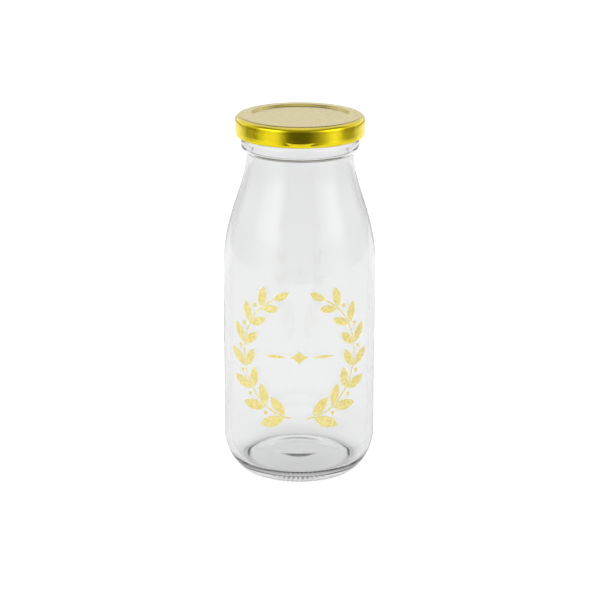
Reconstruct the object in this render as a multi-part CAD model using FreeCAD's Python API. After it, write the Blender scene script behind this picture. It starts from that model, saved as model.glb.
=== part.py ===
"""Small glass milk bottle with a twist-off lug cap and a gold foil wreath printed on its front.

Millimetres, +Z up, origin on the table at the middle of the base, front of the bottle towards -Y.
The glass is one blown piece. The cap is one drawn sheet with a rolled edge and lugs that hook under
short glass threads, and a soft ring in the cap's channel seals the lip.
"""

import FreeCAD
import Part
import math
import os

# Glass body
BODY_DIAMETER = 55.0
WALL = 2.4
HEEL_HEIGHT = 13.1
HEEL_INSET = 6.4
BEARING_WIDTH = 1.0
PUSH_UP_HEIGHT = 2.9
PUSH_UP_FLAT = 8.3
PUSH_UP_EASE = 0.25
PUSH_UP_FOOT = 0.02
BASE_THICKNESS = 3.4
FLOOR_EASE = 0.88
FLOOR_FOOT = 0.05
CORNER_THICKNESS = 3.3
INNER_HEEL_RADIUS = 5.4
BODY_TOP = 75.9
SHOULDER_HEIGHT = 41.3
SHOULDER_EASE = 18.7
NECK_EASE = 11.9
NECK_DIAMETER = 38.3

# Glass finish, from the bead up to the lip
BEAD_REACH = 1.9
BEAD_ROUND = 1.7
BEAD_FILLET = 0.8
BEAD_RISE = 2.85
BEAD_TO_CAP = 3.55
FINISH_STEP = 0.75
LIP_ROUND = 0.85

# Threads on the glass, one over each lug
LUG_COUNT = 4
THREAD_LEAD = 13.0
THREAD_DEPTH = 1.25
THREAD_ROOT_HEIGHT = 1.4
THREAD_CREST_HEIGHT = 0.6
THREAD_BEFORE_LUG = 14.0
THREAD_AFTER_LUG = 46.0
THREAD_FADE = 8.0
THREAD_SECTIONS = 8
THREAD_ROOT_SINK = 0.4
THREAD_TO_LIP = 1.33

# Cap sheet: panel, rim, skirt, rolled edge and lugs
SHEET = 0.25
RIM_ROUND = 1.9
LIP_COVER = 1.7
PANEL_RECESS = 0.6
PANEL_STEP_ANGLE = 24.0
PANEL_STEP_BEND = 1.6
ROLL_START = 2.6
ROLL_LEAD = 0.5
ROLL_LEAN_BEND = 1.0
ROLL_RETURN = 0.4
CURL_LEAN = 1.5
CURL_BEND = 0.9
CURL_FLAT = 0.1
CURL_HEIGHT = 1.4
CURL_CLEARANCE = 0.28
LUG_LEAN = 24.0
LUG_BEND = 0.5
LUG_HEIGHT = 1.3
LUG_REACH = 0.8
LUG_ANGLE = 20.0
LUG_BLEND_ANGLE = 4.5
LUG_CLEARANCE = 0.2

# Sealing ring in the cap's channel
GASKET_THICKNESS = 1.1
GASKET_CHAMFER = 0.3
GASKET_SIDE_GAP = 0.15
SEAL_GAP = 0.05
BOND_GAP = 0.1

# Foil print on the front
FOIL = 0.08
FOIL_GLUE = 0.02
WREATH_HALF_WIDTH = 21.5
WREATH_HALF_HEIGHT = 23.0
WREATH_MIDDLE = 49.5
WREATH_FOOT_ANGLE = 8.0
WREATH_OPENING_ANGLE = 26.0
LEAF_PAIRS = 7
OUTER_LEAF_LENGTH = 9.6
OUTER_LEAF_WIDTH = 4.0
INNER_LEAF_LENGTH = 8.2
INNER_LEAF_WIDTH = 3.5
LEAF_SPREAD = 36.0
LEAF_TAPER = 0.25
LEAF_BELLY = 0.42
LEAF_GAP = 0.3
STEM_WIDTH = 0.6
STEM_POINTS = 7
LEAF_PAIR_SHARE = 0.3
BERRY_SHARE = 1.12
BERRY_DIAMETER = 1.5
BERRY_OFFSET = 2.2
RULE_LENGTH = 8.0
RULE_WIDTH = 1.1
RULE_GAP = 1.2
LOZENGE_LENGTH = 7.0
LOZENGE_HEIGHT = 5.0
LOZENGE_HOLLOW = 0.4

# Radii and heights that follow from the sizes above
FRONT = -90.0
BODY_RADIUS = BODY_DIAMETER / 2
NECK_RADIUS = NECK_DIAMETER / 2
BORE_RADIUS = NECK_RADIUS - WALL
FINISH_RADIUS = NECK_RADIUS + FINISH_STEP
THREAD_CREST_RADIUS = FINISH_RADIUS + THREAD_DEPTH
LUG_TIP_RADIUS = THREAD_CREST_RADIUS - LUG_REACH
NECK_END = BODY_TOP + SHOULDER_HEIGHT
BEAD_Z = NECK_END + BEAD_RISE
CAP_BOTTOM = BEAD_Z + BEAD_TO_CAP
ROLL_START_Z = CAP_BOTTOM + ROLL_START
THREAD_DROP_OVER_LUG = THREAD_LEAD * LUG_ANGLE / 2 / 360
THREAD_UNDERSIDE = CAP_BOTTOM + LUG_HEIGHT + LUG_CLEARANCE + THREAD_DROP_OVER_LUG
THREAD_SEAT = THREAD_UNDERSIDE + THREAD_CREST_HEIGHT / 2
THREAD_TOP = THREAD_SEAT + THREAD_LEAD * THREAD_AFTER_LUG / 360 + THREAD_ROOT_HEIGHT / 2
LIP_Z = THREAD_TOP + THREAD_TO_LIP
GASKET_BOTTOM = LIP_Z + SEAL_GAP
GASKET_TOP = GASKET_BOTTOM + GASKET_THICKNESS
CAP_TOP = GASKET_TOP + BOND_GAP + SHEET
CHANNEL_INNER_RADIUS = FINISH_RADIUS - LIP_COVER
FOIL_RADIUS = BODY_RADIUS + FOIL_GLUE

AXIS = FreeCAD.Vector(0, 0, 1)
ORIGIN = FreeCAD.Vector(0, 0, 0)


def at(radius, height):
    """A point of a cross-section: distance from the axis, height above the table."""
    return FreeCAD.Vector(radius, 0, height)


def arc_through(start, middle, end):
    return Part.Arc(start, middle, end).toShape()


def arc(centre, radius, start_deg, end_deg):
    """A cross-section arc about a centre, angles counted from the outward direction towards +Z."""
    angles = (start_deg, (start_deg + end_deg) / 2, end_deg)
    points = [centre + polar(radius, angle) for angle in angles]
    return arc_through(*points)


def polar(length, degrees):
    turn = math.radians(degrees)
    return at(length * math.cos(turn), length * math.sin(turn))


def ends(edge):
    return edge.valueAt(edge.FirstParameter), edge.valueAt(edge.LastParameter)


def closed_outline(edges):
    """The edges in order as one closed wire, with straight lines over the gaps between them."""
    chain = []
    for edge, following in zip(edges, edges[1:] + edges[:1]):
        chain.append(edge)
        here, there = ends(edge)[1], ends(following)[0]
        if (there - here).Length > 1e-6:
            chain.append(Part.makeLine(here, there))
    return Part.Wire(chain)


def spun(wire, degrees=360.0, start=0.0):
    """A cross-section turned about the bottle's axis."""
    solid = Part.Face(wire).revolve(ORIGIN, AXIS, degrees)
    solid.rotate(ORIGIN, AXIS, start)
    return solid


# Glass


def eased(poles):
    """The smooth curve that leaves its first pole and meets its last one along the poles between."""
    curve = Part.BezierCurve()
    curve.setPoles(poles)
    return curve.toShape()


def push_up():
    """The hollow under the base: level in the middle, then an eased fall to the bearing ring."""
    ring = BODY_RADIUS - HEEL_INSET - BEARING_WIDTH
    run = ring - PUSH_UP_FLAT
    poles = [
        at(PUSH_UP_FLAT, PUSH_UP_HEIGHT),
        at(PUSH_UP_FLAT + PUSH_UP_EASE * run, PUSH_UP_HEIGHT),
        at(ring - PUSH_UP_FOOT * run, PUSH_UP_FOOT * PUSH_UP_HEIGHT),
        at(ring, 0),
    ]
    return [Part.makeLine(at(0, PUSH_UP_HEIGHT), poles[0]), eased(poles)]


def heel_round():
    """Centre and radius of the outside of the heel."""
    radius = (HEEL_HEIGHT**2 + HEEL_INSET**2) / (2 * HEEL_INSET)
    return at(BODY_RADIUS - radius, HEEL_HEIGHT), radius


def heel():
    """The outside of the heel, from the bearing ring up to the straight body."""
    centre, radius = heel_round()
    foot = -math.degrees(math.asin(HEEL_HEIGHT / radius))
    return arc(centre, radius, foot, 0)


def shoulder(inset, falling=False):
    """The S-curve from body to neck, upright at both ends; inset by the wall for the inside."""
    poles = [
        at(BODY_RADIUS - inset, BODY_TOP),
        at(BODY_RADIUS - inset, BODY_TOP + SHOULDER_EASE),
        at(NECK_RADIUS - inset, NECK_END - NECK_EASE),
        at(NECK_RADIUS - inset, NECK_END),
    ]
    return eased(poles[::-1] if falling else poles)


def bead():
    """The ring under the cap: a round bead with a hollow fillet to the neck and one to the finish."""
    middle = NECK_RADIUS + BEAD_REACH - BEAD_ROUND
    reach = BEAD_ROUND + BEAD_FILLET
    low_side = NECK_RADIUS + BEAD_FILLET - middle
    high_side = FINISH_RADIUS + BEAD_FILLET - middle
    low_angle = math.degrees(math.acos(low_side / reach))
    high_angle = math.degrees(math.acos(high_side / reach))
    low_centre = at(middle, BEAD_Z) + polar(reach, -low_angle)
    high_centre = at(middle, BEAD_Z) + polar(reach, high_angle)
    return [
        arc(low_centre, BEAD_FILLET, 180, 180 - low_angle),
        arc(at(middle, BEAD_Z), BEAD_ROUND, -low_angle, high_angle),
        arc(high_centre, BEAD_FILLET, 180 + high_angle, 180),
    ]


def lip():
    """The rounded lip, from the outside of the finish over the sealing land into the bore."""
    height = LIP_Z - LIP_ROUND
    return [
        arc(at(FINISH_RADIUS - LIP_ROUND, height), LIP_ROUND, 0, 90),
        arc(at(BORE_RADIUS + LIP_ROUND, height), LIP_ROUND, 90, 180),
    ]


def inside_floor():
    """The inside of the heel, even with its outside, the corner and the raised floor."""
    centre, radius = heel_round()
    reach = radius - WALL - INNER_HEEL_RADIUS
    drop = HEEL_HEIGHT - CORNER_THICKNESS - INNER_HEEL_RADIUS
    turn = math.degrees(math.asin(drop / reach))
    corner = centre + polar(reach, -turn)
    floor = PUSH_UP_HEIGHT + BASE_THICKNESS
    poles = [
        at(corner.x, CORNER_THICKNESS),
        at((1 - FLOOR_FOOT) * corner.x, CORNER_THICKNESS),
        at(FLOOR_EASE * corner.x, floor),
        at(0, floor),
    ]
    return [
        arc(centre, radius - WALL, 0, -turn),
        arc(corner, INNER_HEEL_RADIUS, -turn, -90),
        eased(poles),
    ]


def thread_section(angle, height, share):
    """One cross-section of a thread: share 1 stands at full depth, share 0 is sunk in the finish."""
    root = FINISH_RADIUS - THREAD_ROOT_SINK
    crest = FINISH_RADIUS - THREAD_ROOT_SINK / 2 + (THREAD_DEPTH + THREAD_ROOT_SINK / 2) * share
    half_root, half_crest = THREAD_ROOT_HEIGHT / 2, THREAD_CREST_HEIGHT / 2
    corners = [
        at(root, height - half_root),
        at(crest, height - half_crest),
        at(crest, height + half_crest),
        at(root, height + half_root),
    ]
    wire = Part.makePolygon(corners + corners[:1])
    wire.rotate(ORIGIN, AXIS, angle)
    return wire


def thread(lug_angle):
    """A short ridge that climbs over one lug and fades into the glass at both ends."""
    span = THREAD_BEFORE_LUG + THREAD_AFTER_LUG
    sections = []
    for step in range(THREAD_SECTIONS + 1):
        along = span * step / THREAD_SECTIONS
        share = min(1.0, along / THREAD_FADE, (span - along) / THREAD_FADE)
        past_lug = along - THREAD_BEFORE_LUG
        height = THREAD_SEAT + THREAD_LEAD * past_lug / 360
        sections.append(thread_section(lug_angle + past_lug, height, share))
    return Part.makeLoft(sections, True, False)


def lug_angles():
    return [FRONT + 360.0 * index / LUG_COUNT for index in range(LUG_COUNT)]


def glass_bottle():
    """The blown glass: body, bead and lip spun about the axis, with the threads on the finish."""
    outside = push_up() + [heel(), shoulder(0.0)] + bead() + lip()
    inside = [shoulder(WALL, falling=True)] + inside_floor()
    blank = spun(closed_outline(outside + inside))
    return blank.fuse([thread(angle) for angle in lug_angles()])


# Cap


class SheetPath:
    """The outer line of a bent sheet, drawn as runs and bends; its inner line lies on its right."""

    def __init__(self, start, heading):
        self.start = start
        self.heading = heading
        self.steps = []

    def run(self, length):
        self.steps.append((length, 0.0))
        return self

    def bend(self, radius, degrees):
        """Turn left by positive degrees, right by negative ones."""
        self.steps.append((radius, degrees))
        return self

    def edges(self, inset=0.0):
        """The line's edges, or those of the line that lies inset to the right of it."""
        heading = self.heading
        here = self.start + polar(inset, heading - 90)
        drawn = []
        for size, degrees in self.steps:
            if degrees == 0.0:
                there = here + polar(size, heading)
                drawn.append(Part.makeLine(here, there))
            else:
                side = math.copysign(90, degrees)
                radius = size + math.copysign(inset, degrees)
                centre = here + polar(radius, heading + side)
                drawn.append(arc(centre, radius, heading - side, heading - side + degrees))
                there = ends(drawn[-1])[1]
                heading += degrees
            here = there
        return drawn

    def wall(self):
        """The closed cross-section of the sheet along the whole path."""
        outer, inner = self.edges(), self.edges(SHEET)
        far = Part.makeLine(ends(outer[-1])[1], ends(inner[-1])[1])
        near = Part.makeLine(ends(inner[0])[0], ends(outer[0])[0])
        return Part.Wire(outer + [far] + inner[::-1] + [near])


def lean_run(lean, bend):
    """Length of the leaning run that brings the roll's bend down to the cap's lower edge."""
    turn = math.radians(lean)
    used = ROLL_LEAD + ROLL_LEAN_BEND * math.sin(turn) + bend * (1 - math.sin(turn))
    return (ROLL_START - used) / math.cos(turn)


def lean_width(lean, bend):
    """How far the leaning run and the bend under it bring the sheet in from the skirt."""
    turn = math.radians(lean)
    leaning = ROLL_LEAN_BEND * (1 - math.cos(turn)) + lean_run(lean, bend) * math.sin(turn)
    return leaning + bend * math.cos(turn)


CURL_INNER_RADIUS = THREAD_CREST_RADIUS + CURL_CLEARANCE
CAP_RADIUS = CURL_INNER_RADIUS + CURL_HEIGHT / 2 + CURL_FLAT + lean_width(CURL_LEAN, CURL_BEND)


def rolled_edge(lean, bend, flat, height):
    """Cross-section of the skirt's lower edge: it leans in, turns under and rolls back over itself."""
    path = SheetPath(at(CAP_RADIUS, ROLL_START_Z), -90)
    path.run(ROLL_LEAD).bend(ROLL_LEAN_BEND, -lean).run(lean_run(lean, bend))
    path.bend(bend, lean - 90).run(flat).bend(height / 2, -180).run(ROLL_RETURN)
    return path.wall()


def curl_section():
    return rolled_edge(CURL_LEAN, CURL_BEND, CURL_FLAT, CURL_HEIGHT)


def lug_section():
    """The same edge pressed in and flattened, so that its tip reaches under the thread."""
    flat = CAP_RADIUS - LUG_TIP_RADIUS - lean_width(LUG_LEAN, LUG_BEND) - LUG_HEIGHT / 2
    return rolled_edge(LUG_LEAN, LUG_BEND, flat, LUG_HEIGHT)


def turned_section(wire, angle):
    copy = wire.copy()
    copy.rotate(ORIGIN, AXIS, angle)
    return copy


def lug(angle):
    """One lug with a blend at each side, from curl to lug and back."""
    half = LUG_ANGLE / 2
    pieces = [spun(lug_section(), LUG_ANGLE, angle - half)]
    for side in (-1, 1):
        inner = turned_section(lug_section(), angle + side * half)
        outer = turned_section(curl_section(), angle + side * (half + LUG_BLEND_ANGLE))
        pieces.append(Part.makeLoft([inner, outer], True, True))
    return pieces


def cap_top():
    """Panel, step, rim and skirt of the cap, down to where the edge starts to roll."""
    step = math.radians(PANEL_STEP_ANGLE)
    bend_rise = 2 * PANEL_STEP_BEND * (1 - math.cos(step))
    step_run = (PANEL_RECESS - bend_rise) / math.sin(step)
    step_width = 2 * PANEL_STEP_BEND * math.sin(step) + step_run * math.cos(step)
    path = SheetPath(at(0, CAP_TOP - PANEL_RECESS), 0)
    path.run(CHANNEL_INNER_RADIUS - step_width)
    path.bend(PANEL_STEP_BEND, PANEL_STEP_ANGLE).run(step_run).bend(PANEL_STEP_BEND, -PANEL_STEP_ANGLE)
    path.run(CAP_RADIUS - RIM_ROUND - CHANNEL_INNER_RADIUS).bend(RIM_ROUND, -90)
    path.run(CAP_TOP - RIM_ROUND - ROLL_START_Z)
    return spun(path.wall())


def cap_shell():
    """The drawn cap: one sheet with its curl between the lugs."""
    lug_span = LUG_ANGLE + 2 * LUG_BLEND_ANGLE
    curl_span = 360.0 / LUG_COUNT - lug_span
    pieces = []
    for angle in lug_angles():
        pieces += lug(angle)
        pieces.append(spun(curl_section(), curl_span, angle + lug_span / 2))
    return cap_top().fuse(pieces).removeSplitter()


def sealing_gasket():
    """The soft ring that fills the flat of the channel and rests on the lip."""
    inner = CHANNEL_INNER_RADIUS + GASKET_SIDE_GAP
    outer = CAP_RADIUS - RIM_ROUND
    corners = [
        at(inner, GASKET_TOP),
        at(inner, GASKET_BOTTOM + GASKET_CHAMFER),
        at(inner + GASKET_CHAMFER, GASKET_BOTTOM),
        at(outer - GASKET_CHAMFER, GASKET_BOTTOM),
        at(outer, GASKET_BOTTOM + GASKET_CHAMFER),
        at(outer, GASKET_TOP),
    ]
    return spun(Part.makePolygon(corners + corners[:1]))


# Foil print, drawn flat as (distance along the glass, height) and laid round the front


def on_glass(point):
    """A point of the flat print as seen from straight in front of the bottle."""
    along, height = point
    return at(FOIL_RADIUS * math.sin(along / FOIL_RADIUS), height)


def step_from(point, degrees, length):
    turn = math.radians(degrees)
    return point[0] + length * math.cos(turn), point[1] + length * math.sin(turn)


def print_arc(start, middle, end):
    return arc_through(on_glass(start), on_glass(middle), on_glass(end))


def print_curve(points):
    curve = Part.BSplineCurve()
    curve.interpolate([on_glass(point) for point in points])
    return curve.toShape()


def foil(wires):
    """Thin foil on the glass inside each outline."""
    outside = Part.makeCylinder(FOIL_RADIUS + FOIL, BODY_TOP)
    ring = outside.cut(Part.makeCylinder(FOIL_RADIUS, BODY_TOP))
    reach = FreeCAD.Vector(0, -2 * FOIL_RADIUS, 0)
    cutters = Part.makeCompound([Part.Face(wire).extrude(reach) for wire in wires])
    return ring.common(cutters)


def leaf(root, heading, length, width):
    """A lance-shaped leaf from its root to its tip."""
    tip = step_from(root, heading, length)
    belly = step_from(root, heading, length * LEAF_BELLY)
    left = step_from(belly, heading + 90, width / 2)
    right = step_from(belly, heading - 90, width / 2)
    return Part.Wire([print_arc(root, left, tip), print_arc(tip, right, root)])


def dot(centre, diameter):
    radius = diameter / 2
    left, right, top, bottom = [step_from(centre, turn, radius) for turn in (180, 0, 90, 270)]
    return Part.Wire([print_arc(left, top, right), print_arc(right, bottom, left)])


def branch_point(share):
    """Place and heading on the right-hand branch, from its foot (0) to its tip (1)."""
    start, end = -90 + WREATH_FOOT_ANGLE, 90 - WREATH_OPENING_ANGLE
    turn = math.radians(start + (end - start) * share)
    place = WREATH_HALF_WIDTH * math.cos(turn), WREATH_MIDDLE + WREATH_HALF_HEIGHT * math.sin(turn)
    run = -WREATH_HALF_WIDTH * math.sin(turn), WREATH_HALF_HEIGHT * math.cos(turn)
    return place, math.degrees(math.atan2(run[1], run[0]))


def branch_stem():
    """The stem as a narrow band along the branch."""
    sides = []
    for side in (-90, 90):
        shares = [index / (STEM_POINTS - 1) for index in range(STEM_POINTS)]
        places = [branch_point(share) for share in shares]
        sides.append([step_from(place, heading + side, STEM_WIDTH / 2) for place, heading in places])
    right, left = sides
    return closed_outline([print_curve(right), print_curve(left[::-1])])


def branch_leaves():
    """Pairs of leaves up the branch, smaller towards its tip, and one leaf on the tip."""
    wires = []
    sides = [(-1, OUTER_LEAF_LENGTH, OUTER_LEAF_WIDTH), (1, INNER_LEAF_LENGTH, INNER_LEAF_WIDTH)]
    for index in range(LEAF_PAIRS):
        place, heading = branch_point((index + LEAF_PAIR_SHARE) / LEAF_PAIRS)
        size = 1 - LEAF_TAPER * index / LEAF_PAIRS
        for side, length, width in sides:
            root = step_from(place, heading + 90 * side, STEM_WIDTH / 2 + LEAF_GAP)
            wires.append(leaf(root, heading + LEAF_SPREAD * side, length * size, width * size))
    tip, heading = branch_point(1)
    size = 1 - LEAF_TAPER
    root = step_from(tip, heading, LEAF_GAP)
    wires.append(leaf(root, heading, INNER_LEAF_LENGTH * size, INNER_LEAF_WIDTH * size))
    return wires


def branch_berries():
    """Berries on the outer side of the stem, one between each two pairs of leaves."""
    wires = []
    for index in range(LEAF_PAIRS - 1):
        place, heading = branch_point((index + BERRY_SHARE) / LEAF_PAIRS)
        wires.append(dot(step_from(place, heading - 90, BERRY_OFFSET), BERRY_DIAMETER))
    return wires


def centre_ornament():
    """A lozenge with hollow sides between two tapered rules."""
    half_length, half_height = LOZENGE_LENGTH / 2, LOZENGE_HEIGHT / 2
    tips = [(half_length, 0), (0, half_height), (-half_length, 0), (0, -half_height)]
    edges = []
    for tip, following in zip(tips, tips[1:] + tips[:1]):
        hollow = [(a + b) * LOZENGE_HOLLOW for a, b in zip(tip, following)]
        points = [(along, WREATH_MIDDLE + up) for along, up in (tip, hollow, following)]
        edges.append(print_arc(*points))
    wires = [Part.Wire(edges)]
    for heading in (0, 180):
        root = step_from((0, WREATH_MIDDLE), heading, half_length + RULE_GAP)
        wires.append(leaf(root, heading, RULE_LENGTH, RULE_WIDTH))
    return wires


def mirrored(shape):
    return shape.mirror(ORIGIN, FreeCAD.Vector(1, 0, 0))


def both_sides(wires):
    return wires + [mirrored(wire) for wire in wires]


def build():
    right_leaves = foil(branch_leaves())
    right_stem = foil([branch_stem()])
    return {
        "glass_bottle": glass_bottle(),
        "cap_shell": cap_shell(),
        "sealing_gasket": sealing_gasket(),
        "foil_right_leaves": right_leaves,
        "foil_left_leaves": mirrored(right_leaves),
        "foil_right_stem": right_stem,
        "foil_left_stem": mirrored(right_stem),
        "foil_berries": foil(both_sides(branch_berries())),
        "foil_centre_ornament": foil(centre_ornament()),
    }


os.makedirs("parts", exist_ok=True)
for name, shape in build().items():
    shape.exportStep(f"parts/{name}.step")
    print(name, shape.isValid(), len(shape.Solids), round(shape.Volume, 2), shape.BoundBox)
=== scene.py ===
"""Dressed model of a small glass milk bottle with a gold twist-off cap and a gold foil wreath."""

import math

import bmesh
import bpy
from mathutils import Matrix, Vector


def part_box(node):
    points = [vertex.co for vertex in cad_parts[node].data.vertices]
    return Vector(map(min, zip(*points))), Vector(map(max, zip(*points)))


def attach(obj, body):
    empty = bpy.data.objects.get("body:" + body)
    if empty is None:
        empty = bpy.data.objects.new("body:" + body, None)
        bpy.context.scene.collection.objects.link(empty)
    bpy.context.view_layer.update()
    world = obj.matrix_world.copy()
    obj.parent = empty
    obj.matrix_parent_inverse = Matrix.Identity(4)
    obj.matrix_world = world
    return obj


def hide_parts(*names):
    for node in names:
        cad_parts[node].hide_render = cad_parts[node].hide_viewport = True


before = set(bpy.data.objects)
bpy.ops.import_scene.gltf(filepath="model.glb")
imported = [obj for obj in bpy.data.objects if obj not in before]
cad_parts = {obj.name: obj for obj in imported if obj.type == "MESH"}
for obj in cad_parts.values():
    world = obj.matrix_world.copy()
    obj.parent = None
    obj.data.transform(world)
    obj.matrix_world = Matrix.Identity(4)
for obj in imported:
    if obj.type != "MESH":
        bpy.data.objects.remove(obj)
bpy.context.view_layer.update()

bl_info = {
    "name": "Milk Bottle",
    "version": (1, 0, 0),
    "blender": (4, 5, 0),
    "location": "3D View > Sidebar > Bottle",
    "description": "Blows the glass, presses the cap, lays the foil and sets the table",
    "category": "Mesh",
}

MM = 0.001
MERGE = 0.002 * MM
UP = (0.0, 0.0, 1.0)
MIDDLE = (0.0, 0.0, 0.0)
_, GLASS_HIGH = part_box("glass_bottle")
CAP_LOW, CAP_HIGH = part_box("cap_shell")
SEAL_LOW, SEAL_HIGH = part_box("sealing_gasket")
FOIL_NODES = sorted(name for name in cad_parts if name.startswith("foil_"))

# Angles in degrees, from outward on the right, anticlockwise from above
FRONT = -90.0
SAME_TURN = 0.02
START_SLACK = 1.0

# Fineness and small forms of the pieces
COLUMNS_PER_BAR = 4
THREAD_STEPS = 40
THREAD_END = 0.25
THREAD_EDGE = 25
LUG_STEPS = 4
CURL_STEPS = 42
ENAMEL_FACING = 0.3
SEAL_STEPS = 128
SEAL_PRESS = 0.06 * MM
SEAL_CROWN = 0.02 * MM
SEAL_HALF_PRESS = 0.55 * MM
# Turn of the painted shade ticks round the foot
PAINTED_TICK_SHIFT = math.pi / 4

# Brightness of the paper: to the camera, in metal by height and by depth, and through glass
PAPER_TO_CAMERA = 0.72
PAPER_IN_METAL = [(0.0, 0.25), (0.3, 0.33)]
PAPER_PAST_OBJECT = [(0.1, 0.0), (0.25, 0.6)]
PAPER_LYING = [(0.0, 1.0), (0.02, 0.0)]
PAPER_IN_GLASS = 0.54
SHADE_IN_GLASS = 0.5

# Brightness of the room: its walls by degrees from the front, the rest by the way a ray goes
WHITE = (1, 1, 1, 1)
ROOM_LIGHT = 0.3
ROOM_WALLS = [
    (-180, 0.55), (-113, 0.55), (-107, 0.3), (-82, 0.3), (-74, 0.6), (-58, 0.95),
    (-46, 1.1), (-38, 0.9), (-29, 0.45), (-21, 0.16), (-15, 0.11), (0, 0.09),
    (18, 0.12), (27, 0.25), (42, 0.55), (53, 0.9), (61, 1.05), (71, 1.0),
    (80, 0.5), (86, 0.3), (107, 0.3), (113, 0.55), (180, 0.55),
]
WALLS_UP = [(0.0, 1.0), (0.1, 1.6), (0.2, 2.6), (0.45, 2.4)]
CEILING_STARTS = [(0.42, 0.0), (0.58, 1.0)]
CEILING_FRONT = [(0.55, 0.35), (0.8, 0.35), (0.92, 0.9)]
BACK_STARTS = [(0.1, 0.0), (0.3, 1.0)]
BACK_RISES = [(0.2, 0.0), (0.3, 1.0)]
CEILING_BEHIND = [(0.32, 0.6), (0.42, 0.12), (0.7, 0.12), (0.84, 0.65), (0.92, 0.9)]
CEILING_ASIDE = [(0.16, 0.0), (0.25, 0.9)]
GLASS_FRONT = [(0.0, 0.55), (0.35, 0.9)]
GLASS_HIGH_UP = [(0.55, 1.0), (0.95, 0.6)]

# Soft boxes: place, aim, width, height and brightness
SOFT_BOXES = {
    "left_box": ((-0.48, -0.40, 0.40), (0, 0, 0.07), 0.36, 0.70, 3.0),
    "right_box": ((0.52, -0.34, 0.40), (0, 0, 0.07), 0.34, 0.70, 2.6),
    "top_box": ((0, 0.35, 1.1), (0, 0.05, 0), 0.8, 0.6, 2.5),
}

# Paper, floor and camera, in metres, millimetres of lens and degrees
SWEEP_SIZE = (1.04, 1.3, 1)
SWEEP_SHIFT = (0, 0.35, 0)
SWEEP_RISE = (0, 0.14, 0.5)
FLOOR_SIZE = 40
FLOOR_DROP = 2 * MM
CAMERA_SENSOR = 36
CAMERA_LENS = 122.1
CAMERA_CLIP = (0.01, 100)
CAMERA_PLACE = (0.2 * MM, -705.9 * MM, 279.5 * MM)
CAMERA_DOWN = 17.1
CAMERA_ROLL = 0.23


def size(name, millimetres, about):
    return bpy.props.FloatProperty(
        name=name, description=about, default=millimetres * MM, unit="LENGTH", precision=5
    )


def angle(name, degrees, about):
    return bpy.props.FloatProperty(
        name=name, description=about, default=math.radians(degrees), subtype="ANGLE"
    )


def share(name, default, about):
    return bpy.props.FloatProperty(name=name, description=about, default=default, subtype="FACTOR")


def number(name, default, about):
    return bpy.props.IntProperty(name=name, description=about, default=default, min=1)


def colour(name, default, about):
    return bpy.props.FloatVectorProperty(
        name=name, description=about, default=default, size=3, min=0, max=1, subtype="COLOR"
    )


class GlassSizes(bpy.types.PropertyGroup):
    body_radius: size("Body radius", GLASS_HIGH.x / MM, "Outside radius of the straight body")
    lip_height: size("Lip height", GLASS_HIGH.z / MM, "Height of the lip above the table")
    wall: size("Wall", 2.4, "Thickness of the glass wall")
    neck_wall: size("Neck wall", 1.8, "Thickness of the glass in the neck")
    heel_height: size("Heel height", 13.1, "Height at which the heel meets the body")
    heel_inset: size("Heel inset", 6.4, "How far the heel draws in to the bearing ring")
    bearing_width: size("Bearing width", 1.0, "Width of the ring that the bottle stands on")
    push_up_height: size("Push-up height", 2.9, "Height of the hollow under the base")
    push_up_flat: size("Push-up flat", 8.3, "Radius of the hollow's level middle")
    push_up_ease: share("Push-up ease", 0.25, "How slowly the level middle falls")
    push_up_foot: share("Push-up foot", 0.02, "How far up the hollow's sides start to bend")
    base_thickness: size("Base thickness", 3.4, "Glass between the hollow and the inside floor")
    floor_ease: share("Floor ease", 0.88, "How slowly the inside floor's level middle falls")
    floor_foot: share("Floor foot", 0.05, "How slowly the inside floor meets the corner")
    corner_thickness: size("Corner thickness", 3.42, "Glass in the inside corner of the base")
    inner_heel_radius: size("Inner heel radius", 5.7, "Radius of the inside corner of the base")
    body_top: size("Body top", 75.9, "Height at which the shoulder starts")
    shoulder_height: size("Shoulder height", 41.3, "Height of the shoulder's S-curve")
    shoulder_ease: size("Shoulder ease", 18.7, "How slowly the shoulder leaves the body")
    neck_ease: size("Neck ease", 11.9, "How slowly the shoulder meets the neck")
    neck_radius: size("Neck radius", 19.15, "Outside radius of the neck")
    bead_reach: size("Bead reach", 1.9, "How far the bead stands out from the neck")
    bead_round: size("Bead round", 2.4, "Radius of the bead's section")
    bead_flat: size("Bead flat", 1.2, "Height of the bead's straight side")
    bead_fillet: size("Bead fillet", 0.8, "Radius of the hollows beside the bead")
    bead_rise: size("Bead rise", 3.8, "Height of the bead above the shoulder's end")
    finish_step: size("Finish step", 0.75, "How far the finish stands out from the neck")
    lip_round: size("Lip round", 0.85, "Radius of the lip's edges")
    grip_bars: number("Grip bars", 80, "Bars round the edge of the foot")
    grip_depth: size("Grip depth", 0.28, "Depth of the notches between the bars")
    grip_reach: size("Grip reach", 1.0, "How far the notches run in over the bearing ring")
    # The foot's ribs below are painted shade: dark ticks tinted into the glass's colour
    painted_tick_count: number("Ribs", 320, "Fine dull ribs round the foot")
    painted_tick_height: size("Rib height", 1.2, "How far the dull ribs run up the heel")


class ThreadSizes(bpy.types.PropertyGroup):
    lead: size("Lead", 13, "Rise of a thread in one full turn")
    depth: size("Depth", 1.25, "How far a thread stands out from the finish")
    root_height: size("Root height", 1.4, "Height of a thread where it leaves the glass")
    crest_height: size("Crest height", 0.6, "Height of a thread at its crest")
    sink: size("Sink", 0.4, "How deep a thread's root is set in the glass")
    seat: size("Seat", 2.161, "Height of a thread over the middle of its lug, above the cap's edge")
    before: angle("Before", 14, "Turn of the thread ahead of the lug")
    after: angle("After", 46, "Turn of the thread past the lug")
    fade: angle("Fade", 8, "Turn over which each end fades into the glass")
    soften: size("Soften", 0.22, "Rounding of the thread's edges")


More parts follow.
